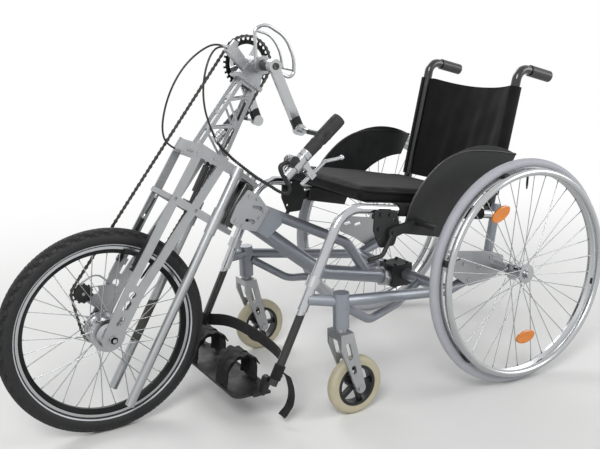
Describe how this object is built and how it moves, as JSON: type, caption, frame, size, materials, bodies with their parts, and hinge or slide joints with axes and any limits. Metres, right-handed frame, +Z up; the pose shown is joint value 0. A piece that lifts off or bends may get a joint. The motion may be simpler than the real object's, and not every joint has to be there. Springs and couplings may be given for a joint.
{
  "type": "handcycle",
  "caption": "Wheelchair with a clip-on front wheel unit that is driven and steered by two hand cranks on a lattice mast.",
  "frame": {"origin": "on the floor, half way between the front of the front tyre and the back of the rear tyres, in the left-right middle plane", "axes": "+Z up, -X forward, -Y the left of the person in the seat"},
  "size_m": [1.5629, 0.7336, 0.9447],
  "materials": {
    "frame_paint": "satin silver-grey paint",
    "chrome_plate": "polished plating",
    "bright_alloy": "satin",
    "rim_alloy": "polished",
    "steel": "plain",
    "dark_steel": "oiled",
    "black_tube": "gloss",
    "clamp_black": "matte",
    "black_panel": "grained",
    "black_cloth": "woven",
    "black_webbing": "ribbed",
    "grey_tyre": "smooth",
    "black_tyre": "treaded",
    "caster_rubber": "smooth",
    "grip_rubber": "ribbed",
    "cable_jacket": "smooth"
  },
  "bodies": {
    "chair": {"base_frame": "frame_paint", "seat_hangers": "chrome_plate", "axle_plates": "frame_paint", "wheel_axles": "steel", "seat_sling": "black_cloth", "seat_cushion": "black_cloth", "side_guards": "black_panel", "lock_brackets": "clamp_black", "footrest_tubes": "black_tube", "heel_strap": "black_webbing", "coupling_frame": "frame_paint", "coupling_clamp": "clamp_black", "docking_plates": "bright_alloy", "head_tube": "black_tube"},
    "backrest": {"backrest_posts": "black_tube", "backrest_cover": "black_cloth"},
    "footrest": {"footplate": "black_panel", "toe_straps": "black_webbing"},
    "rear_wheel_left": {"rear_tyre_left": "grey_tyre", "rear_rim_left": "rim_alloy", "rear_hub_left": "rim_alloy", "handrim_left": "rim_alloy"},
    "rear_wheel_right": {"rear_tyre_right": "grey_tyre", "rear_rim_right": "rim_alloy", "rear_hub_right": "rim_alloy", "handrim_right": "rim_alloy"},
    "caster_left": {"caster_fork_left": "bright_alloy"},
    "caster_right": {"caster_fork_right": "bright_alloy"},
    "caster_roller_left": {"caster_wheel_left": "caster_rubber"},
    "caster_roller_right": {"caster_wheel_right": "caster_rubber"},
    "lock_left": {"wheel_lock_left": "clamp_black"},
    "lock_right": {"wheel_lock_right": "clamp_black"},
    "steering": {"fork_crown": "bright_alloy", "fork_blades": "bright_alloy", "front_axle": "steel", "stand_clamps": "clamp_black", "steering_damper": "black_tube", "mast": "bright_alloy", "crank_bracket": "bright_alloy", "guard_hoop": "bright_alloy", "chain": "dark_steel", "chain_tensioner": "bright_alloy", "cables": "cable_jacket"},
    "front_wheel": {"front_tyre": "black_tyre", "front_rim": "rim_alloy", "front_hub": "rim_alloy", "hub_sprocket": "dark_steel"},
    "crank": {"crank_axle": "dark_steel", "crank_arms": "bright_alloy", "chainring": "dark_steel"},
    "pulley": {"guide_pulley": "black_panel"},
    "hand_left": {"handle_left": "bright_alloy", "grip_left": "grip_rubber"},
    "hand_right": {"handle_right": "bright_alloy", "grip_right": "grip_rubber"},
    "lever": {"brake_lever": "bright_alloy"},
    "brake_left": {"brake_arm_left": "clamp_black"},
    "brake_right": {"brake_arm_right": "clamp_black"},
    "stand_left": {"stand_left": "bright_alloy"},
    "stand_right": {"stand_right": "bright_alloy"}
  },
  "joints": [
    {"name": "rear_wheel_left_spin", "type": "hinge", "parent": "chair", "child": "rear_wheel_left", "pos_m": [0.4835, -0.319, 0.29783], "axis": [0, 0.9994, -0.0349], "continuous": true},
    {"name": "rear_wheel_right_spin", "type": "hinge", "parent": "chair", "child": "rear_wheel_right", "pos_m": [0.4835, 0.319, 0.29783], "axis": [0, 0.9994, 0.0349], "continuous": true},
    {"name": "caster_left_swivel", "type": "hinge", "parent": "chair", "child": "caster_left", "pos_m": [-0.0285, -0.248, 0.275], "axis": [0, 0, 1], "continuous": true},
    {"name": "caster_left_roll", "type": "hinge", "parent": "caster_left", "child": "caster_roller_left", "pos_m": [0.0085, -0.248, 0.075], "axis": [0, 1, 0], "continuous": true},
    {"name": "caster_right_swivel", "type": "hinge", "parent": "chair", "child": "caster_right", "pos_m": [-0.0285, 0.248, 0.275], "axis": [0, 0, 1], "continuous": true},
    {"name": "caster_right_roll", "type": "hinge", "parent": "caster_right", "child": "caster_roller_right", "pos_m": [0.0085, 0.248, 0.075], "axis": [0, 1, 0], "continuous": true},
    {"name": "lock_left_turn", "type": "hinge", "parent": "chair", "child": "lock_left", "pos_m": [0.1315, -0.235, 0.44], "axis": [0, 1, 0], "range_deg": [0, 13]},
    {"name": "lock_right_turn", "type": "hinge", "parent": "chair", "child": "lock_right", "pos_m": [0.1315, 0.235, 0.44], "axis": [0, 1, 0], "range_deg": [0, 13]},
    {"name": "backrest_fold", "type": "hinge", "parent": "chair", "child": "backrest", "pos_m": [0.4975, 0, 0.446], "axis": [0, 1, 0], "range_deg": [-60, 0]},
    {"name": "footplate_flip", "type": "hinge", "parent": "chair", "child": "footrest", "pos_m": [-0.20009, 0, 0.114], "axis": [0, 1, 0], "range_deg": [0, 80]},
    {"name": "steering_turn", "type": "hinge", "parent": "chair", "child": "steering", "pos_m": [-0.17654, 0, 0.50804], "axis": [0.5878, 0, 0.809], "range_deg": [-30, 30]},
    {"name": "crank_turn", "type": "hinge", "parent": "steering", "child": "crank", "pos_m": [-0.10869, 0, 0.84811], "axis": [0, 1, 0], "continuous": true},
    {"name": "front_wheel_spin", "type": "hinge", "parent": "steering", "child": "front_wheel", "pos_m": [-0.5315, 0, 0.25], "axis": [0, 1, 0], "continuous": true},
    {"name": "guide_pulley_spin", "type": "hinge", "parent": "steering", "child": "pulley", "pos_m": [-0.56259, 0.045, 0.33736], "axis": [0, 1, 0], "continuous": true},
    {"name": "hand_left_turn", "type": "hinge", "parent": "crank", "child": "hand_left", "pos_m": [-0.05134, -0.218, 0.69553], "axis": [0, 1, 0], "continuous": true},
    {"name": "hand_right_turn", "type": "hinge", "parent": "crank", "child": "hand_right", "pos_m": [-0.05134, 0.218, 0.69553], "axis": [0, 1, 0], "continuous": true},
    {"name": "brake_lever_pull", "type": "hinge", "parent": "hand_left", "child": "lever", "pos_m": [-0.08783, -0.218, 0.60698], "axis": [0, -1, 0], "range_deg": [0, 22], "stiffness_Nm_per_rad": 0.6},
    {"name": "brake_arm_left_swing", "type": "hinge", "parent": "steering", "child": "brake_left", "pos_m": [-0.463, -0.047, 0.40468], "axis": [-0.809, 0, 0.5878], "range_deg": [0, 2.8]},
    {"name": "brake_arm_right_swing", "type": "hinge", "parent": "steering", "child": "brake_right", "pos_m": [-0.463, 0.047, 0.40468], "axis": [0.809, 0, -0.5878], "range_deg": [0, 2.8]},
    {"name": "stand_left_slide", "type": "slide", "parent": "steering", "child": "stand_left", "axis": [-0.5046, 0, -0.8633], "range_m": [0, 0.07]},
    {"name": "stand_right_slide", "type": "slide", "parent": "steering", "child": "stand_right", "axis": [-0.5046, 0, -0.8633], "range_m": [0, 0.07]}
  ],
  "couplings": [
    {"joint": "front_wheel_spin", "follows": "crank_turn", "ratio": 1.6667},
    {"joint": "guide_pulley_spin", "follows": "crank_turn", "ratio": 2.7273},
    {"joint": "brake_arm_left_swing", "follows": "brake_lever_pull", "ratio": 0.125},
    {"joint": "brake_arm_right_swing", "follows": "brake_lever_pull", "ratio": 0.125}
  ]
}
